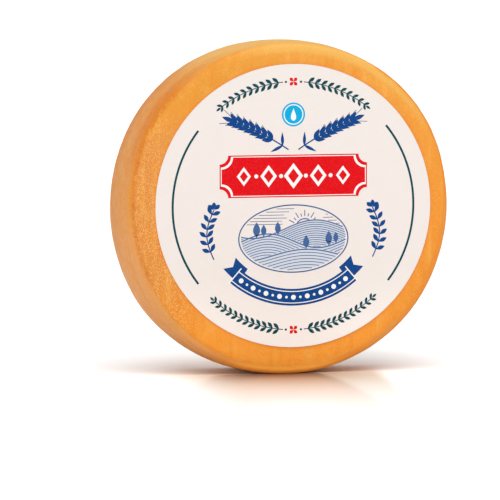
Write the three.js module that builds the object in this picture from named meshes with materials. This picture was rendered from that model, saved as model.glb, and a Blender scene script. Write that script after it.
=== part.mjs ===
// A trappist cheese wheel that stands on its rim, with a round paper label on its front face.
// Millimetres. +Z is up, the wheel's axis runs along Y, and the labelled face looks along -Y.
// The origin is the bottom centre of the whole, on the surface that the wheel stands on.
import * as THREE from "three";

// Driving dimensions. The thicknesses are whole eighths of a millimetre, which 32-bit numbers
// hold exactly, so that the label's back and the wheel's front face share one plane.
const DIAMETER = 230; // mean, across the fullest line of the side
const THICKNESS = 58; // front face to back face
const SIDE_BULGE = 1.2; // how much fuller the side is half way along than at its edges
const EDGE_RADIUS = 4; // rounding between the side and each face
const SHOULDER_WIDTH = 8; // ring inside each edge where the face falls away
const SHOULDER_DROP = 0.8; // how far it falls by the edge
const AXIS_HEIGHT = 113.5; // less than the radius, as the rim has settled flat where it stands
const LABEL_DIAMETER = 194;
const LABEL_THICKNESS = 0.25; // paper with its film of glue
const LABEL_ASIDE = 3.1; // the label's centre lies this far right of the wheel's axis, from the front
const LABEL_ABOVE = 1.9; // and this far above it

// A hand-turned cheese isn't quite round. Its outline is a circle with a few low waves on it:
// how many lobes each has, how high it is, and one crest's angle in degrees from +X towards +Z.
const WAVES = [
  { lobes: 2, height: 0.8, crest: 50 },
  { lobes: 3, height: 0.3, crest: 21 },
  { lobes: 4, height: 0.6, crest: 46 },
];

// How finely the round forms are divided
const SEGMENTS = 120;
const SHOULDER_STEPS = 3;
const EDGE_STEPS = 4;
const SIDE_STEPS = 4; // from an edge to the fullest line

const RADIUS = DIAMETER / 2;
const FRONT = -(THICKNESS - LABEL_THICKNESS) / 2; // y of the front face, with the whole centred
const RIGHT_ANGLE = Math.PI / 2;

// The wheel's outline, as a radius at an angle from +X towards +Z
function outline(angle) {
  return WAVES.reduce(
    (radius, { lobes, height, crest }) =>
      radius + height * Math.cos(lobes * (angle - THREE.MathUtils.degToRad(crest))),
    RADIUS,
  );
}

// Half of the section, from the middle of the front face to the fullest line of the side,
// as points of radius and y: a flat face, a shoulder that bends away from it,
// an edge arc that starts and ends in line with its neighbours, and a bulging side
function halfSection() {
  const edgeStart = Math.atan((2 * SHOULDER_DROP) / SHOULDER_WIDTH);
  const edgeEnd = RIGHT_ANGLE - Math.atan((2 * SIDE_BULGE) / (THICKNESS / 2 - EDGE_RADIUS));
  const arcRadius = RADIUS - SIDE_BULGE - EDGE_RADIUS * Math.sin(edgeEnd);
  const arcY = FRONT + SHOULDER_DROP + EDGE_RADIUS * Math.cos(edgeStart);
  const flatRadius = arcRadius + EDGE_RADIUS * Math.sin(edgeStart) - SHOULDER_WIDTH;
  const sideStart = arcY - EDGE_RADIUS * Math.cos(edgeEnd);
  const middle = FRONT + THICKNESS / 2;

  const at = (radius, y) => new THREE.Vector2(radius, y);
  const points = [at(0, FRONT), at(flatRadius, FRONT)];
  for (let step = 1; step < SHOULDER_STEPS; step++) {
    const along = step / SHOULDER_STEPS;
    points.push(at(flatRadius + SHOULDER_WIDTH * along, FRONT + SHOULDER_DROP * along ** 2));
  }
  for (let step = 0; step <= EDGE_STEPS; step++) {
    const angle = THREE.MathUtils.lerp(edgeStart, edgeEnd, step / EDGE_STEPS);
    points.push(at(arcRadius + EDGE_RADIUS * Math.sin(angle), arcY - EDGE_RADIUS * Math.cos(angle)));
  }
  for (let step = 1; step <= SIDE_STEPS; step++) {
    const toMiddle = step / SIDE_STEPS;
    const bulge = SIDE_BULGE * (1 - toMiddle) ** 2;
    points.push(at(RADIUS - bulge, THREE.MathUtils.lerp(sideStart, middle, toMiddle)));
  }
  return points;
}

// The whole section: the back half mirrors the front half
function wholeSection() {
  const front = halfSection();
  const middle = FRONT + THICKNESS / 2;
  const back = front
    .slice(0, -1)
    .reverse()
    .map((point) => new THREE.Vector2(point.x, 2 * middle - point.y));
  return [...front, ...back];
}

// Gives a turned solid the uneven outline, and settles its rim flat where it stands
function settle(geometry) {
  const positions = geometry.getAttribute("position");
  for (let i = 0; i < positions.count; i++) {
    const x = positions.getX(i);
    const z = positions.getZ(i);
    const stretch = outline(Math.atan2(z, x)) / RADIUS;
    positions.setX(i, x * stretch);
    positions.setZ(i, Math.max(z * stretch, -AXIS_HEIGHT));
  }
  geometry.computeBoundingBox();
  geometry.computeVertexNormals();
}

function cheeseWheel() {
  const geometry = new THREE.LatheGeometry(wholeSection(), SEGMENTS);
  settle(geometry);
  const rind = new THREE.MeshStandardMaterial({ color: 0xeb9c48, roughness: 0.5, metalness: 0 });
  const mesh = new THREE.Mesh(geometry, rind);
  mesh.name = "cheese_wheel";
  return mesh;
}

function paperLabel() {
  const radius = LABEL_DIAMETER / 2;
  const geometry = new THREE.CylinderGeometry(radius, radius, LABEL_THICKNESS, SEGMENTS);
  const paper = new THREE.MeshStandardMaterial({ color: 0xf3ebe4, roughness: 0.6, metalness: 0 });
  const mesh = new THREE.Mesh(geometry, paper);
  mesh.name = "paper_label";
  mesh.position.set(LABEL_ASIDE, FRONT - LABEL_THICKNESS / 2, LABEL_ABOVE);
  return mesh;
}

// Stands the wheel on its rim, with its width centred over the origin
function standingWheel() {
  const wheel = cheeseWheel();
  const { min, max } = wheel.geometry.boundingBox;
  const group = new THREE.Group();
  group.add(wheel, paperLabel());
  group.position.set(-(min.x + max.x) / 2, 0, AXIS_HEIGHT);
  return group;
}

export default standingWheel();
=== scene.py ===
"""The looks of a trappist cheese wheel with a round paper label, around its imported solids.

Metres, +Z up. The wheel stands on its rim, its axis runs along Y, and the labelled face looks along -Y.
"""

import math

import bpy
import numpy as np
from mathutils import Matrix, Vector, noise


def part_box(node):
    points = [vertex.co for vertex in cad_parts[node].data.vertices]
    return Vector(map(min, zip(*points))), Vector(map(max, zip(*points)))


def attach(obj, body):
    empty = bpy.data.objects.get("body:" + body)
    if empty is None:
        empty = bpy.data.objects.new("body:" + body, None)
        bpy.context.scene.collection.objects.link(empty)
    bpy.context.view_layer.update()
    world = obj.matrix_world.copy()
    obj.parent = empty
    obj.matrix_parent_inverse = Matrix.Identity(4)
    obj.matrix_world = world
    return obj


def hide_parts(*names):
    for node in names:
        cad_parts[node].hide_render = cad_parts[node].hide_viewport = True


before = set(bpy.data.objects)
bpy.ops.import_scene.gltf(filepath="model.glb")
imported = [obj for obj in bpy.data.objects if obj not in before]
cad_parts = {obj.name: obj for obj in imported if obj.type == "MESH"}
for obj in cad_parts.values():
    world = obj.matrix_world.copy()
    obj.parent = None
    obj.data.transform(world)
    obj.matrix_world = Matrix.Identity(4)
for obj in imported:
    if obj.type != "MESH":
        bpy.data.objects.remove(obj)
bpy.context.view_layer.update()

MM = 0.001

# The wheel's form, as in its solid
RADIUS = 115 * MM
SIDE_BULGE = 1.2 * MM
EDGE_RADIUS = 4 * MM
SHOULDER_WIDTH = 8 * MM
SHOULDER_DROP = 0.8 * MM
LABEL_ASIDE = 3.1 * MM
LABEL_ABOVE = 1.9 * MM
# Low waves of the outline: lobes, height, and one crest's angle from +X towards +Z
WAVES = ((2, 0.8 * MM, 50), (3, 0.3 * MM, 21), (4, 0.6 * MM, 46))

wheel_low, wheel_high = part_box("cheese_wheel")
label_low, label_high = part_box("paper_label")
THICKNESS = wheel_high.y - wheel_low.y
LABEL_RADIUS = (label_high.x - label_low.x) / 2
LABEL_X = (label_high.x + label_low.x) / 2
LABEL_Z = (label_high.z + label_low.z) / 2
AXIS_X = LABEL_X - LABEL_ASIDE
AXIS_Z = LABEL_Z - LABEL_ABOVE

# The photograph's camera
PHOTO_SIZE = 500  # pixels each way
FOCAL_PIXELS = 8000  # its focal length in those pixels
SENSOR = 36  # millimetres
CAMERA_AZIMUTH = -14.57  # degrees from the front, to the left
CAMERA_ELEVATION = 4.1
CAMERA_DISTANCE = 5.495
WHEEL_PIXEL = (278.35, 205.65)  # the middle of the wheel in the photograph

# How brightly the lights fall on the wheel's front, where 1 shows white as white
LIGHT_LEVEL = 1.46
# Colours made with the lower level are painted lighter near the floor, to make up for the shade there
LOW_LIGHT_LEVEL = 1.25  # the same near the floor
SHEEN = 0.02  # what the surface's sheen adds
DARKEST = 0.002  # no surface colour has less of red, green or blue
# Surface colours at the foot of the faces and the side, given as they are and painted lighter against the
# shade there, as little light falls there
FOOT_FACE_PAINTED_LIGHT = (0.8, 0.35, 0.055, 1)
FOOT_SIDE_PAINTED_LIGHT = (0.8, 0.33, 0.045, 1)

# Relief of the rind
RIND_INSET = 0.15 * MM  # keeps the relief's highest places inside the solid
BOX_GAP = 0.02 * MM  # and nothing comes nearer than this to the sides of the solid's box
SMOOTH_REACH = 2.5 * MM  # the relief sets in over this distance from the label's edge
GROOVE_DEPTH = 0.35 * MM
GROOVE_WIDTH = 1.3 * MM
GROOVE_PLACE = -1.5 * MM  # at the left, from the start of the edge's arc
GROOVE_RISE = 3.2 * MM  # how much further out it lies near the top
RIDGE_HEIGHT = 0.14 * MM
RIDGE_INSIDE = 1.6 * MM  # from the groove to the ridge
RIDGE_WIDTH = 1.0 * MM
# How broad the relief's dents, lumps and pebbles are, and how high, in millimetres
BUMPS = ((38, 0.30), (9, 0.10), (3.2, 0.07))

# The edge's colours, each with its share at every point of the rind: the tan of the side, the dark line of
# shade painted in the groove, the pale spots of highlight painted on the ridge, the darker band past the
# groove at the upper left, the shoulder
MARKS = ("side", "groove_shade", "ridge", "band", "shoulder")
RIDGE_ANGLE = math.radians(147)
RIDGE_SPREAD = math.radians(11)
BAND_ANGLE = math.radians(144)
BAND_SPREAD = math.radians(23)
# Over the edge at the top, the face's gold carries a painted highlight
GOLDEN_REACH = 5 * MM  # how far the face's gold reaches over the edge at the top

# How finely the rind and the label are divided
RIND_SECTORS = 640
RINGS_UNDER_LABEL = [30 * MM, 60 * MM, 85 * MM, 92 * MM]
FRONT_STEP = 0.85 * MM
BACK_STEP = 1.15 * MM
BACK_RINGS = list(np.arange(4 * MM, 100 * MM, 4 * MM))
ARC_SHARE = 0.7  # steps in the edge's arc have this share of the length of the others
LABEL_SECTORS = 360


def srgb(red, green, blue):
    """A display colour, 0 to 255, as the linear colour that shaders take."""
    shares = (red / 255, green / 255, blue / 255)
    linear = [c / 12.92 if c <= 0.04045 else ((c + 0.055) / 1.055) ** 2.4 for c in shares]
    return (*linear, 1.0)


def seen(red, green, blue, light=LIGHT_LEVEL):
    """The surface colour that shows as this display colour where this much light falls on it."""
    return (*(max(DARKEST, (c - SHEEN) / light) for c in srgb(red, green, blue)[:3]), 1.0)


class Shading:
    """One material and its nodes. Most methods add a node and give back its output."""

    def __init__(self, name):
        self.material = bpy.data.materials.new(name)
        self.material.use_nodes = True
        self.tree = self.material.node_tree
        self.shader = self.tree.nodes["Principled BSDF"]
        self.place = self.tree.nodes.new("ShaderNodeTexCoord").outputs["Object"]

    def put(self, socket, value):
        """Links another node's output to the socket, or sets the socket's own value."""
        if isinstance(value, bpy.types.NodeSocket):
            self.tree.links.new(value, socket)
        else:
            socket.default_value = value

    def math(self, operation, *values):
        node = self.tree.nodes.new("ShaderNodeMath")
        node.operation = operation
        for socket, value in zip(node.inputs, values):
            self.put(socket, value)
        return node.outputs[0]

    def times(self, value, *others):
        for other in others:
            value = self.math("MULTIPLY", value, other)
        return value

    def axes(self):
        """The place's x, y and z."""
        node = self.tree.nodes.new("ShaderNodeSeparateXYZ")
        self.put(node.inputs[0], self.place)
        return node.outputs

    def noise(self, size, detail=2.0, stretch=(1, 1, 1), roughness=0.5):
        """Noise from 0 to 1 with features of this size, longer along an axis by its stretch."""
        scaling = self.tree.nodes.new("ShaderNodeMapping")
        scaling.inputs["Scale"].default_value = [1 / s for s in stretch]
        self.put(scaling.inputs["Vector"], self.place)
        node = self.tree.nodes.new("ShaderNodeTexNoise")
        self.put(node.inputs["Vector"], scaling.outputs[0])
        node.inputs["Scale"].default_value = 1 / size
        node.inputs["Detail"].default_value = detail
        node.inputs["Roughness"].default_value = roughness
        return node.outputs["Fac"]

    def between(self, value, low, high, out_low=0.0, out_high=1.0):
        """A smooth step as value goes from low to high."""
        node = self.tree.nodes.new("ShaderNodeMapRange")
        node.interpolation_type = "SMOOTHSTEP"
        for socket, number in zip(node.inputs, (value, low, high, out_low, out_high)):
            self.put(socket, number)
        return node.outputs["Result"]

    def fading(self, value, reach):
        """1 where the value is 0, fading away as it grows."""
        return self.math("EXPONENT", self.math("DIVIDE", value, -reach))

    def hump(self, value, middle, width):
        """1 where the value is at the middle, falling off smoothly over the width on both sides."""
        off = self.math("DIVIDE", self.math("SUBTRACT", value, middle), width)
        return self.math("EXPONENT", self.math("MULTIPLY", self.math("POWER", off, 2.0), -1.0))

    def attribute(self, name):
        """A share that the mesh carries at its points."""
        node = self.tree.nodes.new("ShaderNodeAttribute")
        node.attribute_name = name
        return node.outputs["Fac"]

    def mix(self, share, colour, other):
        """The colour with this share of the other in it. The node's sockets 6, 7 and 2 are its colours."""
        node = self.tree.nodes.new("ShaderNodeMix")
        node.data_type = "RGBA"
        self.put(node.inputs["Factor"], share)
        self.put(node.inputs[6], colour)
        self.put(node.inputs[7], other)
        return node.outputs[2]

    def bump(self, height, distance, strength, under=None):
        """The normal of fine relief, on top of the normal under it."""
        node = self.tree.nodes.new("ShaderNodeBump")
        node.inputs["Distance"].default_value = distance
        node.inputs["Strength"].default_value = strength
        self.put(node.inputs["Height"], height)
        if under:
            self.put(node.inputs["Normal"], under)
        return node.outputs["Normal"]

    def finish(self, colour, roughness, normal=None, specular=0.5):
        """Sets the shader and gives back the material."""
        self.put(self.shader.inputs["Base Color"], colour)
        self.put(self.shader.inputs["Roughness"], roughness)
        self.shader.inputs["Specular IOR Level"].default_value = specular
        if normal:
            self.put(self.shader.inputs["Normal"], normal)
        return self.material


def face_colour(s):
    """The faces' orange: golden towards the top, duller at the left, in patches and upright streaks."""
    x, y, z = s.axes()
    front = s.between(y, 20 * MM, -20 * MM)
    high = s.between(z, 110 * MM, 212 * MM)
    low = s.times(s.between(z, 60 * MM, 8 * MM), s.between(x, 90 * MM, 50 * MM))
    left = s.times(
        s.between(x, -30 * MM, -100 * MM),
        s.between(z, 205 * MM, 150 * MM),
        s.between(z, 20 * MM, 80 * MM),
    )
    upper_left = s.times(s.between(x, 10 * MM, -50 * MM), s.between(z, 150 * MM, 200 * MM))
    shoulder = s.attribute("shoulder")
    colour = s.mix(high, seen(244, 155, 59), seen(242, 165, 71))
    # Painted light: low on the face it is painted lighter, to make up for the shade near the floor
    colour = s.mix(low, colour, seen(240, 154, 60, LOW_LIGHT_LEVEL))
    colour = s.mix(s.times(left, 0.85), colour, seen(227, 149, 78))
    colour = s.mix(s.times(upper_left, 0.9), colour, seen(234, 157, 61))
    patches = s.noise(13 * MM, 4, roughness=0.6)
    colour = s.mix(s.between(patches, 0.52, 0.75, 0, 0.5), colour, seen(249, 180, 88))
    colour = s.mix(s.between(patches, 0.48, 0.25, 0, 0.5), colour, seen(242, 146, 52))
    streaks = s.noise(4.5 * MM, 2, stretch=(1, 1, 12))
    streaked = s.between(front, 0, 1, 0.3, 1)  # the back's streaks are weaker
    colour = s.mix(s.times(s.between(streaks, 0.52, 0.72), streaked, 0.4), colour, seen(249, 184, 90))
    colour = s.mix(s.times(s.between(streaks, 0.48, 0.28), streaked, 0.3), colour, seen(234, 142, 50))
    # Painted light: the face's foot is painted lighter, to make up for the shade near the floor
    foot_painted_light = s.times(shoulder, s.between(z, 20 * MM, 4 * MM))
    colour = s.mix(s.times(foot_painted_light, 0.9), colour, FOOT_FACE_PAINTED_LIGHT)
    # Painted highlight: the edge at the top is painted lighter and more golden, as light from above falls on
    # it
    golden = s.times(shoulder, s.between(z, 150 * MM, 205 * MM), s.between(x, -45 * MM, -5 * MM))
    return s.mix(s.times(golden, 0.95), colour, seen(240, 184, 94))


def side_colour(s):
    """The side's paler tan, with fine streaks: a painted golden highlight on top, brighter at the right,
    duller at the back.
    """
    x, y, z = s.axes()
    colour = s.mix(s.between(y, -24 * MM, 24 * MM), seen(230, 152, 70), seen(216, 140, 58))
    colour = s.mix(s.between(z, 115 * MM, 45 * MM, 0, 0.8), colour, seen(234, 154, 72))
    olive = s.times(s.between(z, 180 * MM, 200 * MM), s.between(y, 0.0, 22 * MM), 0.5)
    colour = s.mix(olive, colour, seen(206, 164, 92))
    colour = s.mix(s.between(x, 10 * MM, 60 * MM, 0, 0.9), colour, seen(242, 148, 60))
    lower_edge = s.times(
        s.between(y, -20.5 * MM, -24 * MM),
        s.between(x, -20 * MM, -70 * MM),
        s.between(z, 125 * MM, 75 * MM),
    )
    colour = s.mix(lower_edge, colour, seen(234, 164, 98))
    streaks = s.noise(2.4 * MM, 3, stretch=(9, 1, 9))
    colour = s.mix(s.between(streaks, 0.45, 0.7, 0, 0.35), colour, seen(218, 164, 92))
    colour = s.mix(s.between(streaks, 0.45, 0.25, 0, 0.35), colour, seen(228, 146, 66))
    # Painted highlight: the top of the side is painted paler and lighter, as light from above falls there
    top = s.times(s.between(z, 195 * MM, 226 * MM), s.between(x, 95 * MM, 15 * MM))
    colour = s.mix(s.times(top, 0.85), colour, seen(240, 188, 103))
    # Painted light: the side's foot is painted lighter, to make up for the shade near the floor
    colour = s.mix(s.between(z, 12 * MM, 3 * MM, 0, 0.9), colour, FOOT_SIDE_PAINTED_LIGHT)
    return s.mix(s.between(y, 24.5 * MM, 28 * MM, 0, 0.75), colour, seen(224, 124, 58))


def beside_label(s):
    """1 on the front face where it meets the label's edge, fading away within a few millimetres."""
    x, y, z = s.axes()
    aside = s.math("POWER", s.math("SUBTRACT", x, LABEL_X), 2.0)
    above = s.math("POWER", s.math("SUBTRACT", z, LABEL_Z), 2.0)
    distance = s.math("SQRT", s.math("ADD", aside, above))
    ring = s.between(distance, LABEL_RADIUS + 2.6 * MM, LABEL_RADIUS + 0.4 * MM)
    return s.times(ring, s.between(y, -20 * MM, -26 * MM))


def rind_material():
    """Washed rind: waxy orange faces and a tan side, finely grained, with light and shade painted on the
    grain and a dark line of painted shade where they meet.
    """
    s = Shading("washed_rind")
    x, _, z = s.axes()
    mottle = s.noise(1.6 * MM, 2)
    side = s.math("ADD", s.attribute("side"), s.times(s.math("SUBTRACT", mottle, 0.5), 0.8))
    side = s.between(side, 0.15, 0.85)
    colour = s.mix(side, face_colour(s), side_colour(s))
    colour = s.mix(s.times(s.attribute("band"), 0.9), colour, seen(217, 128, 38))
    colour = s.mix(s.times(beside_label(s), 0.55), colour, seen(240, 140, 66))

    grain = s.noise(0.85 * MM, 1)
    left = s.times(s.between(x, -50 * MM, -95 * MM), s.between(z, 190 * MM, 150 * MM))
    grained = s.times(
        s.between(left, 0, 1, 0.3, 1),
        s.between(s.noise(16 * MM, 2), 0.3, 0.6, 0.55, 1),
        s.between(side, 0, 1, 1, 0.35),
    )
    # Painted light on the grain: lighter on its tops and darker in its pits, where the bump rises and sinks
    colour = s.mix(s.times(s.between(grain, 0.52, 0.68), grained, 0.8), colour, seen(250, 194, 122))
    colour = s.mix(s.times(s.between(grain, 0.47, 0.3), grained, 0.7), colour, seen(222, 130, 50))

    # Painted highlight: pale spots on the low ridge inside the groove, where it catches the light
    ridge_highlights = s.between(s.noise(2.0 * MM, 3, stretch=(1, 1, 2.2)), 0.44, 0.62)
    colour = s.mix(s.times(s.attribute("ridge"), ridge_highlights, 0.55), colour, seen(244, 184, 86))
    # Painted shade: a dark line in the groove along the edge, where shade falls
    lumps = s.between(mottle, 0.36, 0.56, 1, 0.45)
    colour = s.mix(s.times(s.attribute("groove_shade"), lumps, 0.95), colour, seen(209, 119, 45))

    normal = s.bump(s.times(grain, grained), 0.25 * MM, 0.7)
    normal = s.bump(s.noise(2.6 * MM, 3), 0.1 * MM, 0.5, under=normal)
    roughness = s.between(s.noise(6 * MM, 2), 0.3, 0.7, 0.5, 0.66)
    return s.finish(colour, roughness, normal, specular=0.2)


def paper_material():
    """Coated label paper, off-white with a faint fibre."""
    s = Shading("label_paper")
    fibre = s.noise(1.1 * MM, 3, stretch=(3, 1, 1))
    colour = s.mix(s.between(fibre, 0.35, 0.65), seen(243, 234, 228), seen(244, 235, 229))
    # Painted light: the paper is painted lighter towards the bottom, to make up for the shade near the floor
    colour = s.mix(s.between(s.axes()[2], 75 * MM, 5 * MM), colour, seen(243, 235, 230, LOW_LIGHT_LEVEL))
    normal = s.bump(fibre, 0.006 * MM, 0.3)
    return s.finish(colour, 0.55, normal, specular=0.25)


def ink_material(name, ink):
    """Printed ink: an even colour that thins a little here and there."""
    s = Shading(name)
    lighter = tuple(c + (1 - c) * 0.012 for c in ink[:3]) + (1.0,)
    colour = s.mix(s.between(s.noise(0.9 * MM, 2), 0.4, 0.75), ink, lighter)
    return s.finish(colour, 0.6, specular=0.04)


def outline(angle):
    """The wheel's outline: its radius at an angle in radians from +X towards +Z."""
    waves = (height * math.cos(lobes * (angle - math.radians(crest))) for lobes, height, crest in WAVES)
    return RADIUS + sum(waves)


def half_section(face_radii, step):
    """Half of the section, from a face's middle to the fullest line of the side, in rows.

    A row holds the radius, the depth below the face plane, the outward normal's shares along the radius and
    along the axis, and the distance past the start of the edge's arc.
    """
    edge_start = math.atan(2 * SHOULDER_DROP / SHOULDER_WIDTH)
    edge_end = math.pi / 2 - math.atan(2 * SIDE_BULGE / (THICKNESS / 2 - EDGE_RADIUS))
    arc_radius = RADIUS - SIDE_BULGE - EDGE_RADIUS * math.sin(edge_end)
    arc_depth = SHOULDER_DROP + EDGE_RADIUS * math.cos(edge_start)
    arc_start = arc_radius + EDGE_RADIUS * math.sin(edge_start)
    flat_radius = arc_start - SHOULDER_WIDTH
    arc_length = EDGE_RADIUS * (edge_end - edge_start)

    rows = [(radius, 0.0, 0.0, 1.0, radius - arc_start) for radius in face_radii]
    for radius in np.arange(face_radii[-1] + step, arc_start - step / 2, step):
        along = max(0.0, (radius - flat_radius) / SHOULDER_WIDTH)
        slope = math.atan(2 * SHOULDER_DROP / SHOULDER_WIDTH * along)
        depth = SHOULDER_DROP * along**2
        rows.append((radius, depth, math.sin(slope), math.cos(slope), radius - arc_start))

    arc_steps = math.ceil(arc_length / (ARC_SHARE * step))
    for angle in np.linspace(edge_start, edge_end, arc_steps + 1):
        radius = arc_radius + EDGE_RADIUS * math.sin(angle)
        depth = arc_depth - EDGE_RADIUS * math.cos(angle)
        past = EDGE_RADIUS * (angle - edge_start)
        rows.append((radius, depth, math.sin(angle), math.cos(angle), past))

    side_start = arc_depth - EDGE_RADIUS * math.cos(edge_end)
    side_length = THICKNESS / 2 - side_start
    for along in np.linspace(0, 1, math.ceil(side_length / step) + 1)[1:]:
        slope = math.atan(2 * SIDE_BULGE * (1 - along) / side_length)
        radius = RADIUS - SIDE_BULGE * (1 - along) ** 2
        depth = side_start + side_length * along
        rows.append((radius, depth, math.cos(slope), math.sin(slope), arc_length + side_length * along))
    return rows


def hump(value, middle, width):
    """A smooth hump, 1 at the middle and falling off over the width."""
    return math.exp(-(((value - middle) / width) ** 2))


def smooth_step(value, low, high):
    """A smooth step from 0 to 1 as value goes from low to high."""
    share = max(0.0, min(1.0, (value - low) / (high - low)))
    return share * share * (3 - 2 * share)


class RimPlace:
    """What the rind's edge is like at an angle round the rim, on the front or the back."""

    def __init__(self, angle, back):
        self.across, self.up = math.cos(angle), math.sin(angle)
        place = Vector((self.across, self.up, 5.0 if back else 0.0))
        broken = 0.6 + 0.6 * noise.noise(place * 5.0) + 0.4 * noise.noise(place * 23.0)
        leftness = 0.5 - 0.5 * self.across
        lined = max(0.0, min(1.0, broken * (0.1 + 1.2 * leftness)))
        self.line = lined * (1 - smooth_step(self.up, 0.6, 0.9))
        self.groove_shade = self.line * (1 - 0.7 * smooth_step(-self.up, 0.36, 0.52))
        wander = 0.5 * MM * noise.noise(place * 6.0 + Vector((9, 0, 0)))
        self.groove = GROOVE_PLACE + GROOVE_RISE * smooth_step(self.up, -0.3, 0.45) + wander
        self.side_start = self.groove - 0.2 * MM + GOLDEN_REACH * smooth_step(self.up, 0.8, 0.95)
        banded = hump(angle, BAND_ANGLE, BAND_SPREAD) * (1.1 + 0.4 * noise.noise(place * 4.0))
        self.banding = min(1.0, banded)
        self.ridge = hump(angle, RIDGE_ANGLE, RIDGE_SPREAD)

    def relief(self, past):
        """The groove along the edge and the low ridge inside it, in metres."""
        groove = -GROOVE_DEPTH * self.line * hump(past, self.groove, GROOVE_WIDTH)
        return groove + RIDGE_HEIGHT * self.line * hump(past, self.groove - RIDGE_INSIDE, RIDGE_WIDTH)

    def marks(self, past):
        """The shares of the edge's colours this far past the start of its arc."""
        highlighted = self.ridge * smooth_step(past, -5 * MM, 0.5 * MM)
        banded = self.banding * smooth_step(past, self.groove - 2 * MM, self.groove + 0.5 * MM)
        return {
            "side": smooth_step(past, self.side_start - 1.6 * MM, self.side_start + 1.6 * MM),
            "groove_shade": self.groove_shade * hump(past, self.groove - 0.1 * MM, 1.9 * MM),
            "ridge": highlighted * (1 - smooth_step(past, 1.8 * MM, 3.5 * MM)),
            "band": banded * (1 - smooth_step(past, 12 * MM, 23 * MM)),
            "shoulder": smooth_step(past, -4.5 * MM, -1 * MM),
        }


def rind_relief(point):
    """How far the rind stands out here, in metres: broad dents, lumps and soft pebbling."""
    return sum(noise.noise(point / (breadth * MM)) * height * MM for breadth, height in BUMPS)


def mesh_piece(name, vertices, faces, material):
    mesh = bpy.data.meshes.new(name)
    mesh.from_pydata(vertices, [], faces)
    mesh.validate()
    mesh.materials.append(material)
    piece = bpy.data.objects.new(name, mesh)
    bpy.context.scene.collection.objects.link(piece)
    return piece


def turned_faces(sectors, rings, from_back=False):
    """Faces of a closed turned form. Its points are a middle point, rings of points, and a middle point."""
    faces = []
    last = 1 + rings * sectors
    for k in range(sectors):
        after = (k + 1) % sectors
        faces.append((0, 1 + k, 1 + after))
        for ring in range(rings - 1):
            start = 1 + ring * sectors
            faces.append((start + k, start + sectors + k, start + sectors + after, start + after))
        start = last - sectors
        faces.append((last, start + after, start + k))
    return [(face[0], *face[:0:-1]) for face in faces] if from_back else faces


def rind_point(row, stretch, rim):
    """A point of the rind's skin, with its relief, kept within the wheel's box."""
    radius, y, out_radial, out_axial, past, back = row
    point = Vector((AXIS_X + radius * stretch * rim.across, y, AXIS_Z + radius * stretch * rim.up))
    bare = 1.0
    if not back:
        from_label = math.hypot(point.x - LABEL_X, point.z - LABEL_Z) - LABEL_RADIUS
        bare = smooth_step(from_label, 0.0, SMOOTH_REACH)
    height = (rind_relief(point) + rim.relief(past)) * bare - RIND_INSET * abs(out_axial)
    point += Vector((out_radial * rim.across, out_axial, out_radial * rim.up)) * height
    return [
        max(low + BOX_GAP, min(high - BOX_GAP, c))
        for low, high, c in zip(wheel_low, wheel_high, point)
    ]


def rind_piece():
    """The wheel's skin as one closed mesh with its relief, within the solid."""
    rows = [
        (radius, wheel_low.y + depth, out_radial, -out_axial, past, False)
        for radius, depth, out_radial, out_axial, past in half_section(RINGS_UNDER_LABEL, FRONT_STEP)
    ]
    rows += [
        (radius, wheel_high.y - depth, out_radial, out_axial, past, True)
        for radius, depth, out_radial, out_axial, past in half_section(BACK_RINGS, BACK_STEP)[-2::-1]
    ]
    angles = [2 * math.pi * k / RIND_SECTORS for k in range(RIND_SECTORS)]
    stretches = [outline(angle) / RADIUS for angle in angles]
    rims = {back: [RimPlace(angle, back) for angle in angles] for back in (False, True)}

    vertices = [(AXIS_X, wheel_low.y + RIND_INSET, AXIS_Z)]
    marks = {name: [0.0] for name in MARKS}
    for row in rows:
        past, back = row[-2:]
        for stretch, rim in zip(stretches, rims[back]):
            vertices.append(rind_point(row, stretch, rim))
            for name, share in rim.marks(past).items():
                marks[name].append(share)
    vertices.append((AXIS_X, wheel_high.y - RIND_INSET, AXIS_Z))

    piece = mesh_piece("rind", vertices, turned_faces(RIND_SECTORS, len(rows)), rind_material())
    for name, shares in marks.items():
        attribute = piece.data.attributes.new(name, "FLOAT", "POINT")
        attribute.data.foreach_set("value", shares + [0.0])
    piece.data.shade_smooth()
    return piece


# The label
PAPER_FRONT = label_low.y + 0.1 * MM  # leaves room for the layers of print in front
PAPER_BACK = label_high.y + 0.12 * MM
PAPER_ROUNDING = 0.05 * MM
INK = 0.02 * MM  # thickness of one layer of print
FILM = 0.001 * MM  # step between shapes that overlap in one layer
FILM_STEPS = 8


def label_paper_piece():
    """The paper disc, with its cut edge just rounded and its back in the rind."""
    section = [
        (LABEL_RADIUS, PAPER_BACK),
        (LABEL_RADIUS, PAPER_FRONT + PAPER_ROUNDING),
        (LABEL_RADIUS - PAPER_ROUNDING, PAPER_FRONT),
        (0.9 * LABEL_RADIUS, PAPER_FRONT),
        (0.5 * LABEL_RADIUS, PAPER_FRONT),
    ]
    angles = [2 * math.pi * k / LABEL_SECTORS for k in range(LABEL_SECTORS)]
    vertices = [(LABEL_X, PAPER_BACK, LABEL_Z)]
    for radius, y in section:
        vertices += [(LABEL_X + radius * math.cos(a), y, LABEL_Z + radius * math.sin(a)) for a in angles]
    vertices.append((LABEL_X, PAPER_FRONT, LABEL_Z))
    faces = turned_faces(LABEL_SECTORS, len(section), from_back=True)
    return mesh_piece("label_paper", vertices, faces, paper_material())


def runs_left(points):
    """Whether an outline runs counter-clockwise, seen from the front."""
    return sum(a[0] * b[1] - b[0] * a[1] for a, b in zip(points, points[1:] + points[:1])) > 0


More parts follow.
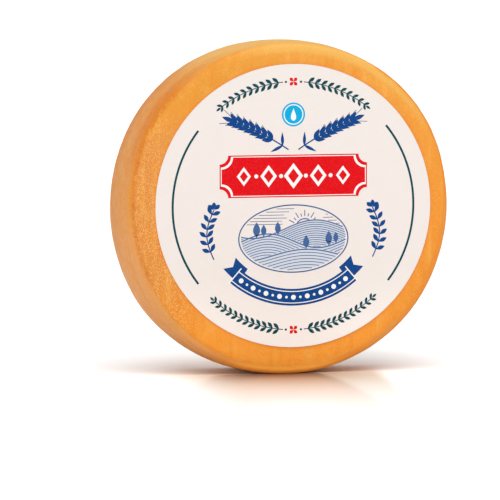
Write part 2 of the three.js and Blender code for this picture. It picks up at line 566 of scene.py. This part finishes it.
class Drawing:
    """Flat printed shapes of one ink, each a thin closed plate on the paper.

    Drawings are in millimetres from the label's middle: u to the right, v up.
    """

    def __init__(self, layer):
        self.layer = layer
        self.shapes = 0
        self.vertices = []
        self.faces = []

    def plate(self, points, tops):
        """Adds a plate: its points, and its front faces by point number, counter-clockwise."""
        first = len(self.vertices)
        count = len(points)
        front = PAPER_FRONT - INK * self.layer - FILM * (self.shapes % FILM_STEPS)
        self.shapes += 1
        for y in (front, PAPER_FRONT + INK):
            self.vertices += [(LABEL_X + u * MM, y, LABEL_Z + v * MM) for u, v in points]
        edges = {(a, b) for top in tops for a, b in zip(top, top[1:] + top[:1])}
        for top in tops:
            self.faces.append([first + k for k in top])
            self.faces.append([first + count + k for k in reversed(top)])
        for a, b in sorted(edges):
            if (b, a) not in edges:
                self.faces.append([first + b, first + a, first + count + a, first + count + b])

    def fill(self, points):
        """A filled shape with one outline."""
        points = points if runs_left(points) else points[::-1]
        self.plate(points, [list(range(len(points)))])

    def strip(self, one_side, other_side, closed=False):
        """The strip between two lines of as many points."""
        count = len(one_side)
        points = one_side + other_side
        tops = []
        for k in range(count if closed else count - 1):
            after = (k + 1) % count
            tops.append([k, after, count + after, count + k])
        as_wanted = runs_left([points[k] for k in tops[0]])
        self.plate(points, tops if as_wanted else [top[::-1] for top in tops])

    def line(self, points, width):
        """A line of this width through the points."""
        left, right = [], []
        for k, (u, v) in enumerate(points):
            before = points[max(0, k - 1)]
            after = points[min(len(points) - 1, k + 1)]
            along = math.atan2(after[1] - before[1], after[0] - before[0])
            du, dv = -math.sin(along) * width / 2, math.cos(along) * width / 2
            left.append((u + du, v + dv))
            right.append((u - du, v - dv))
        self.strip(right, left)

    def piece(self, name, material):
        return mesh_piece(name, self.vertices, self.faces, material)


def polar(radius, degrees):
    """The place at this distance from (0, 0) and this angle from the right."""
    return (radius * math.cos(math.radians(degrees)), radius * math.sin(math.radians(degrees)))


def moved(points, place, degrees=0.0):
    """The points turned about (0, 0), then moved to the place."""
    cos, sin = math.cos(math.radians(degrees)), math.sin(math.radians(degrees))
    return [(place[0] + u * cos - v * sin, place[1] + u * sin + v * cos) for u, v in points]


def heading(start, end):
    """The angle of the way from one place to another, in degrees."""
    return math.degrees(math.atan2(end[1] - start[1], end[0] - start[0]))


def arc(radius, start, end, steps=40):
    """Points along an arc about (0, 0) between two angles."""
    return [polar(radius, start + (end - start) * k / steps) for k in range(steps + 1)]


def disc(place, radius, steps=28):
    return moved(arc(radius, 0, 360, steps)[:-1], place)


def leaf(place, degrees, length, width, fullest=0.5):
    """A pointed leaf or grain from the place, growing at this angle, fullest at this share of its length."""
    steps = 10
    bend = math.log(0.5) / math.log(fullest)
    shares = [(1 - math.cos(math.pi * k / steps)) / 2 for k in range(steps + 1)]
    top = [(length * t, width / 2 * math.sin(math.pi * t**bend)) for t in shares]
    bottom = [(u, -v) for u, v in reversed(top[1:-1])]
    return moved(top + bottom, place, degrees)


def diamond(place, width, height):
    return moved([(width / 2, 0), (0, height / 2), (-width / 2, 0), (0, -height / 2)], place)


def drop(place, size, steps=32):
    """A drop with its point upwards."""
    shape = []
    for k in range(steps):
        turn = 2 * math.pi * k / steps
        narrowing = math.sin(turn / 2) ** 1.5
        shape.append((0.62 * size * math.sin(turn) * narrowing, size * math.cos(turn)))
    return moved(shape, place)


# Places and sizes of the print, in millimetres and degrees
RING_RADIUS = 85.0
PLAIN_ARCS = ((-38.0, 39.6), (142.0, 218.0))
GARLANDS = ((90, 37.0), (270, 41.0))  # the middle and half the span of the top one and the bottom one
GARLAND_START = 5.0  # from the garland's middle, where its flower is
LEAF_LENGTH, LEAF_WIDTH, LEAF_SPACING = 5.8, 2.4, 4.6
BADGE_MIDDLE, BADGE_RADIUS = (0, 62.5), 8.2
PLAQUE_MIDDLE, PLAQUE_HALF_WIDTH, PLAQUE_HALF_HEIGHT = 20.5, 52.0, 14.5
PLAQUE_HOLLOW = 6.0  # radius of its hollowed corners
DIAMOND_SPACING = 17.5
PICTURE_MIDDLE, PICTURE_HALF_WIDTH, PICTURE_HALF_HEIGHT = -22.5, 39.0, 23.5
PICTURE_RIM = 0.9  # width of the line round it
PICTURE_MARGIN = 1.8  # from its edge to the drawing in it
HATCH_GAPS = (1.5, 1.8, 2.1)  # between the lines on each hill, the farthest first
SUN, SUN_RADIUS = (8.0, -15.5), 6.5
# The picture's trees: how far to the right, on which hill, and how large
TREES = ((-26, 0, 3.4), (-21, 0, 2.6), (25, 1, 3.2), (30, 1, 2.4), (-11, 1, 2.8), (9, 2, 3.0))
RIBBON_INNER, RIBBON_OUTER, RIBBON_HALF_SPAN = 57.0, 68.5, 41.0
RIBBON_LINE = 1.8  # from its edges to its white lines
TAIL_DROP = 3.5  # how much nearer to the middle its tails lie


def draw_ring(teal, red):
    """A thin arc at each side, and leafy garlands at the top and bottom that grow from a small flower."""
    for start, end in PLAIN_ARCS:
        teal.line(arc(RING_RADIUS, start, end, 60), 1.5)
    for middle, half_span in GARLANDS:
        heart = polar(RING_RADIUS, middle)
        for petal in range(4):
            red.fill(leaf(heart, middle + 45 + 90 * petal, 3.6, 2.4, 0.6))
        for hand in (-1, 1):
            start, end = middle + hand * GARLAND_START, middle + hand * half_span
            teal.line(arc(RING_RADIUS, start, end, 30), 0.6)
            teal.fill(disc(polar(RING_RADIUS, middle + hand * 3.6), 0.8, 16))
            pairs = round(math.radians(half_span - GARLAND_START) * RING_RADIUS / LEAF_SPACING)
            for k in range(pairs):
                degrees = start + (end - start) * (k + 0.6) / pairs
                place = polar(RING_RADIUS, degrees)
                size = 1.0 - 0.25 * k / pairs
                for lean in (-40, 40):
                    along = degrees + 90 * hand + lean
                    teal.fill(leaf(place, along, LEAF_LENGTH * size, LEAF_WIDTH * size, 0.55))
            tip = polar(RING_RADIUS, end)
            teal.fill(leaf(tip, end + 90 * hand, LEAF_LENGTH * 0.7, LEAF_WIDTH * 0.7))


def draw_wheat(navy):
    """Two ears of wheat that lean apart above the plaque."""
    steps = 28
    shares = [k / steps for k in range(steps + 1)]
    for hand in (-1, 1):
        stem = [(hand * (3.5 + 39 * t), 38.5 + 26 * t - 6 * t**2) for t in shares]
        navy.line(stem, 0.9)
        for k in range(8, steps + 1, 3):
            place = stem[k]
            along = heading(stem[k - 1], place)
            for lean in (-32, 32):
                navy.fill(leaf(place, along + lean, 8.0, 3.4, 0.42))
                tip = moved([polar(12.5, along + lean * 0.72)], place)[0]
                navy.line([place, tip], 0.4)
        navy.fill(leaf(stem[-1], along, 8.4, 3.2, 0.42))
        rise = heading((0, 0), (hand * 39, 26))
        for lean in (-60, 55):
            navy.fill(leaf(stem[3], rise + lean * hand, 9.5, 2.2, 0.4))


def draw_badge(cyan, white):
    """A small round badge with a drop."""
    cyan.fill(disc(BADGE_MIDDLE, BADGE_RADIUS, 48))
    outer, inner = (disc(BADGE_MIDDLE, BADGE_RADIUS - inset, 48) for inset in (1.2, 1.9))
    white.strip(outer, inner, closed=True)
    white.fill(drop(BADGE_MIDDLE, 4.2))


def plaque(inset):
    """The plaque's outline, drawn in by the inset: a long shape with hollowed corners."""
    half_width = PLAQUE_HALF_WIDTH - inset
    half_height = PLAQUE_HALF_HEIGHT - inset
    growth = 0.6 * inset  # the hollows grow as the plaque shrinks
    corners = []
    for cu, cv, start in ((1, 1, 270), (-1, 1, 360), (-1, -1, 90), (1, -1, 180)):
        middle = (cu * (half_width + growth), cv * (half_height + growth))
        bend = [polar(PLAQUE_HOLLOW + growth, start - 90 * k / 10) for k in range(11)]
        corners += [(middle[0] + u, PLAQUE_MIDDLE + middle[1] + v) for u, v in bend]
    return corners


def draw_plaque(red, white, red_top):
    """A red plaque with a white inner line and a row of diamonds."""
    red.fill(plaque(0))
    white.strip(plaque(2.0), plaque(3.4), closed=True)
    for k in (-2, -1, 0, 1, 2):
        size = 1.0 - 0.13 * abs(k)
        place = (k * DIAMOND_SPACING, PLAQUE_MIDDLE)
        white.fill(diamond(place, 13.5 * size, 17.5 * size))
        red_top.fill(diamond(place, 7.8 * size, 10.2 * size))
    for k in (-1.5, -0.5, 0.5, 1.5):
        white.fill(disc((k * DIAMOND_SPACING, PLAQUE_MIDDLE), 1.4))


def picture_edge(u):
    """Half the height at u of the oval that the picture's drawing fills."""
    share = u / (PICTURE_HALF_WIDTH - PICTURE_MARGIN)
    return (PICTURE_HALF_HEIGHT - PICTURE_MARGIN) * math.sqrt(max(0.0, 1 - share**2))


def hill(number, u):
    """The height at u of a hill's crest: three overlapping hills, farthest first, then the picture's foot."""
    share = u / PICTURE_HALF_WIDTH
    crests = (
        -16.0 + 6.0 * math.cos(2.8 * share - 1.1),
        -24.0 + 5.0 * math.cos(3.4 * share + 1.6),
        -34.0 + 4.0 * math.cos(2.6 * share - 0.6),
        PICTURE_MIDDLE - PICTURE_HALF_HEIGHT,
    )
    return crests[number]


def in_picture(point):
    return abs(point[1] - PICTURE_MIDDLE) < picture_edge(point[0])


def in_sky(point):
    return in_picture(point) and point[1] > hill(0, point[0]) + 0.5


def draw_runs(ink, points, wanted, width):
    """Draws the stretches of a line whose points are wanted."""
    run = []
    for point in points + [None]:
        if point and wanted(point):
            run.append(point)
        else:
            if len(run) > 2:
                ink.line(run, width)
            run = []


def draw_hills(blue, pale, places):
    """Overlapping hills, hatched along their crests."""
    inner = [u for u in places if abs(u) < PICTURE_HALF_WIDTH - 2.2]
    for number, gap in enumerate(HATCH_GAPS):
        top = [(u, min(hill(number, u), PICTURE_MIDDLE + picture_edge(u))) for u in inner]
        foot = [(u, max(hill(number + 1, u), PICTURE_MIDDLE - picture_edge(u))) for u in inner]
        foot = [(u, min(v, top_v)) for (u, v), (_, top_v) in zip(foot, top)]
        pale.strip(foot, top)
        draw_runs(blue, [(u, hill(number, u)) for u in places], in_picture, 0.8)
        for hatch in range(1, 14):
            line = [(u, hill(number, u) - hatch * gap) for u in places]
            draw_runs(blue, line, lambda p: in_picture(p) and p[1] > hill(number + 1, p[0]) + 0.7, 0.5)


def draw_sky(blue, places):
    """A sun that rises behind the hills, with its rays, and fine lines of cloud clear of it."""
    draw_runs(blue, moved(arc(SUN_RADIUS, 0, 180, 40), SUN), in_sky, 0.8)
    for k in range(11):
        degrees = 12 + 15.6 * k
        root = SUN_RADIUS + 1.8
        reach = 12.5 if k % 2 else 10.5
        ray = [polar(root + (reach - root) * j / 4, degrees) for j in range(5)]
        draw_runs(blue, moved(ray, SUN), in_sky, 0.6)
    for k in range(7):
        line = [(u, -12.5 + 2.1 * k) for u in places]
        clear = 16.0 + 1.5 * math.sin(2.4 * k)
        draw_runs(blue, line, lambda p: in_sky(p) and math.dist(p, SUN) > clear, 0.42)


def draw_picture(blue, pale):
    """An oval picture in fine lines, as if engraved: hatched hills, a rising sun and small trees."""
    turns = [2 * math.pi * k / 90 for k in range(90)]
    outer, inner = (
        [(a * math.cos(t), PICTURE_MIDDLE + b * math.sin(t)) for t in turns]
        for a, b in ((PICTURE_HALF_WIDTH - w, PICTURE_HALF_HEIGHT - w) for w in (0, PICTURE_RIM))
    )
    blue.strip(outer, inner, closed=True)
    steps = 150
    places = [PICTURE_HALF_WIDTH * (2 * k / steps - 1) for k in range(steps + 1)]
    draw_hills(blue, pale, places)
    draw_sky(blue, places)
    for u, number, size in TREES:
        foot = hill(number, u)
        blue.line([(u, foot - 0.3), (u, foot + size)], 0.7)
        blue.fill(leaf((u, foot + 0.8), 90, 3.0 * size, 1.5 * size, 0.45))


def draw_sprigs(navy):
    """An upright leafy sprig at each side of the picture."""
    shares = [k / 20 for k in range(21)]
    for hand in (-1, 1):
        stem = [(hand * (56.0 + 5.0 * math.sin(math.pi * t)), -36.0 + 34.0 * t) for t in shares]
        navy.line(stem, 0.8)
        for k in range(3, 20, 3):
            along = heading(stem[k - 1], stem[k])
            for lean in (-48, 48):
                navy.fill(leaf(stem[k], along + lean, 6.6, 2.9, 0.55))
        for lean in (-50, 0, 50):
            navy.fill(leaf(stem[-1], 90 + lean, 5.4, 3.0, 0.62))


def draw_ribbon(navy, navy_under, white):
    """A navy ribbon that curves along the bottom, with notched tails, white edge lines and beads."""
    start, end = 270 - RIBBON_HALF_SPAN, 270 + RIBBON_HALF_SPAN
    navy.strip(arc(RIBBON_OUTER, start, end), arc(RIBBON_INNER, start, end))
    for radius in (RIBBON_OUTER - RIBBON_LINE, RIBBON_INNER + RIBBON_LINE):
        white.line(arc(radius, start, end), 0.6)
    middle = (RIBBON_OUTER + RIBBON_INNER) / 2
    for k in range(-8, 9):
        place = polar(middle, 270 + 4.5 * k)
        white.fill(disc(place, 0.9 if k % 2 else 1.7, 20))
    for hand in (-1, 1):
        edge = 270 + hand * RIBBON_HALF_SPAN
        white.line([polar(RIBBON_INNER - 1.0, edge), polar(RIBBON_OUTER + 1.0, edge)], 0.8)
        inner, outer = RIBBON_INNER - TAIL_DROP, RIBBON_OUTER - TAIL_DROP
        root, tip = edge - hand * 4.0, edge + hand * 8.5
        notch = polar((inner + outer) / 2, tip - hand * 3.5)
        navy_under.fill(arc(outer, root, tip, 8) + [notch] + arc(inner, tip, root, 8))


def print_pieces():
    """All of the label's print, one piece for each ink and layer."""
    under, pale = Drawing(1), Drawing(1)
    teal, navy, cyan, red, blue = (Drawing(2) for _ in range(5))
    white, red_top = Drawing(3), Drawing(4)
    draw_ring(teal, red)
    draw_wheat(navy)
    draw_badge(cyan, white)
    draw_plaque(red, white, red_top)
    draw_picture(blue, pale)
    draw_sprigs(navy)
    draw_ribbon(navy, under, white)
    navy_ink = ink_material("navy_ink", seen(28, 80, 142))
    red_ink = ink_material("red_ink", seen(230, 34, 46))
    return [
        under.piece("print_navy_tails", navy_ink),
        pale.piece("print_pale_blue", ink_material("pale_blue_ink", seen(216, 221, 230))),
        teal.piece("print_teal", ink_material("teal_ink", seen(30, 82, 92))),
        navy.piece("print_navy", navy_ink),
        cyan.piece("print_cyan", ink_material("cyan_ink", seen(38, 178, 228))),
        red.piece("print_red", red_ink),
        blue.piece("print_blue", ink_material("blue_ink", seen(80, 110, 160))),
        white.piece("print_white", ink_material("white_ink", seen(253, 251, 250))),
        red_top.piece("print_red_diamonds", red_ink),
    ]


# The floor, and the strengths of what shows on it, as shares
FLOOR_HALF_WIDTH = 30.0
FLOOR_LEVEL = 0.9
MIRROR = 0.6
MIRROR_ROUGHNESS = 0.08
MIRROR_FADE = 190 * MM  # how far in front of the foot the floor still mirrors
GLOW = 0.48
GLOW_FADE = 150 * MM  # how far the wheel's warm light reaches over the floor
GLOW_LEAN = 0.157  # how far its right edge leans to the left as it comes forward
FOOT_SHADE = 0.85
FOOT_SHADE_FADE = 44 * MM  # how far the brown shade at the foot reaches
SHADOW = 0.13
WARMTH = (0.5, 0.84, 1.18)  # how strongly glow and shade take red, green and blue from the floor


def floor_piece():
    """A pale floor that mirrors the wheel's foot a little, with a warm glow in front and a shadow behind."""
    s = Shading("pale_floor")
    x, y, _ = s.axes()
    ahead = s.math("SUBTRACT", s.times(y, -1.0), THICKNESS / 2)
    away = s.math("MAXIMUM", ahead, 0.0)
    beside = s.math("ADD", x, s.times(ahead, GLOW_LEAN))
    glow = s.times(
        s.fading(away, GLOW_FADE),
        s.between(beside, 69 * MM, 57 * MM),
        s.between(beside, -110 * MM, -40 * MM),
        s.between(ahead, -60 * MM, 30 * MM),
        GLOW,
    )
    from_foot = s.math("MAXIMUM", away, s.times(ahead, -3.0))
    shade = s.times(s.fading(from_foot, FOOT_SHADE_FADE), s.hump(x, -6 * MM, 52 * MM), FOOT_SHADE)
    shadow = s.times(s.hump(x, 84 * MM, 45 * MM), s.hump(y, 120 * MM, 80 * MM), SHADOW)
    clear = s.times(s.math("SUBTRACT", 1.0, glow), s.math("SUBTRACT", 1.0, shade))
    unevenness = s.between(s.noise(0.4, 2), 0.0, 1.0, 0.99, 1.01)
    level = s.times(unevenness, s.math("SUBTRACT", FLOOR_LEVEL, shadow))
    colour = s.tree.nodes.new("ShaderNodeCombineColor")
    for socket, strength in zip(colour.inputs, WARMTH):
        s.put(socket, s.times(level, s.math("POWER", clear, strength)))
    matt = s.tree.nodes.new("ShaderNodeBsdfDiffuse")
    s.put(matt.inputs["Color"], colour.outputs[0])
    mirror = s.tree.nodes.new("ShaderNodeBsdfGlossy")
    s.put(mirror.inputs["Color"], colour.outputs[0])
    mirror.inputs["Roughness"].default_value = MIRROR_ROUGHNESS
    gloss = s.times(
        s.fading(away, MIRROR_FADE),
        s.between(y, -THICKNESS / 2 + 12 * MM, -THICKNESS / 2),
        s.between(s.math("SUBTRACT", s.math("ABSOLUTE", x), s.times(away, 0.25)), 90 * MM, 24 * MM),
        MIRROR,
    )
    blend = s.tree.nodes.new("ShaderNodeMixShader")
    s.put(blend.inputs[0], gloss)
    s.put(blend.inputs[1], matt.outputs[0])
    s.put(blend.inputs[2], mirror.outputs[0])
    s.put(s.tree.nodes["Material Output"].inputs["Surface"], blend.outputs[0])
    half = FLOOR_HALF_WIDTH
    corners = [(-half, -half, 0), (half, -half, 0), (half, half, 0), (-half, half, 0)]
    return mesh_piece("floor", corners, [(0, 1, 2, 3)], s.material)


def direction(azimuth, elevation):
    """The way from the wheel to something seen at this azimuth and elevation, in degrees."""
    a, e = math.radians(azimuth), math.radians(elevation)
    return Vector((math.sin(a) * math.cos(e), -math.cos(a) * math.cos(e), math.sin(e)))


def sun(name, azimuth, elevation, strength, angle):
    """A soft, even light from far away."""
    light = bpy.data.lights.new(name, "SUN")
    light.energy = strength
    light.angle = math.radians(angle)
    lamp = bpy.data.objects.new(name, light)
    lamp.rotation_mode = "QUATERNION"
    lamp.rotation_quaternion = direction(azimuth, elevation).to_track_quat("Z", "Y")
    bpy.context.scene.collection.objects.link(lamp)


def studio():
    """White surroundings, brighter at the left and dimmer overhead, and two broad lights high in front."""
    sun("key", -12, 58, 2.2, 60)
    sun("right", 45, 55, 0.7, 60)
    world = bpy.data.worlds.new("studio")
    world.use_nodes = True
    nodes, links = world.node_tree.nodes, world.node_tree.links
    way = nodes.new("ShaderNodeSeparateXYZ")
    links.new(nodes.new("ShaderNodeTexCoord").outputs["Generated"], way.inputs[0])
    level = nodes.new("ShaderNodeMath")
    # Two shares of the surroundings' strength: each goes from one value to another along an axis of the view
    ranges = (("Z", 0.15, 0.6, 1.05, 0.5), ("X", -0.2, -0.9, 0.0, 0.6))
    for (axis, start, end, at_start, at_end), term in zip(ranges, level.inputs):
        slope = nodes.new("ShaderNodeMapRange")
        slope.interpolation_type = "SMOOTHSTEP"
        links.new(way.outputs[axis], slope.inputs["Value"])
        for socket, number in zip(slope.inputs[1:5], (start, end, at_start, at_end)):
            socket.default_value = number
        links.new(slope.outputs["Result"], term)
    links.new(level.outputs[0], nodes["Background"].inputs["Strength"])
    nodes["Background"].inputs["Color"].default_value = (1, 1, 1, 1)
    bpy.context.scene.world = world


def camera():
    """A long lens, placed so that the wheel's middle lies where the photograph has it."""
    data = bpy.data.cameras.new("camera")
    data.sensor_width = SENSOR
    data.lens = FOCAL_PIXELS * SENSOR / PHOTO_SIZE
    data.clip_end = 100
    back = direction(CAMERA_AZIMUTH, CAMERA_ELEVATION)
    middle = Vector((AXIS_X, 0, AXIS_Z))
    place = middle + back * CAMERA_DISTANCE
    right = Vector((0, 0, 1)).cross(back).normalized()
    up = back.cross(right)
    pixel = CAMERA_DISTANCE / FOCAL_PIXELS
    aside = WHEEL_PIXEL[0] - PHOTO_SIZE / 2
    below = WHEEL_PIXEL[1] - PHOTO_SIZE / 2
    aim = middle - right * aside * pixel + up * below * pixel
    eye = bpy.data.objects.new("camera", data)
    eye.location = place
    eye.rotation_mode = "QUATERNION"
    eye.rotation_quaternion = (aim - place).to_track_quat("-Z", "Y")
    bpy.context.scene.collection.objects.link(eye)
    bpy.context.scene.camera = eye


camera()
rind = rind_piece()
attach(rind, "root")
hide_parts("cheese_wheel")
paper = label_paper_piece()
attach(paper, "root")
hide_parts("paper_label")
for printed in print_pieces():
    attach(printed, "root")
floor_piece()
studio()
bpy.context.scene.view_settings.view_transform = "Standard"
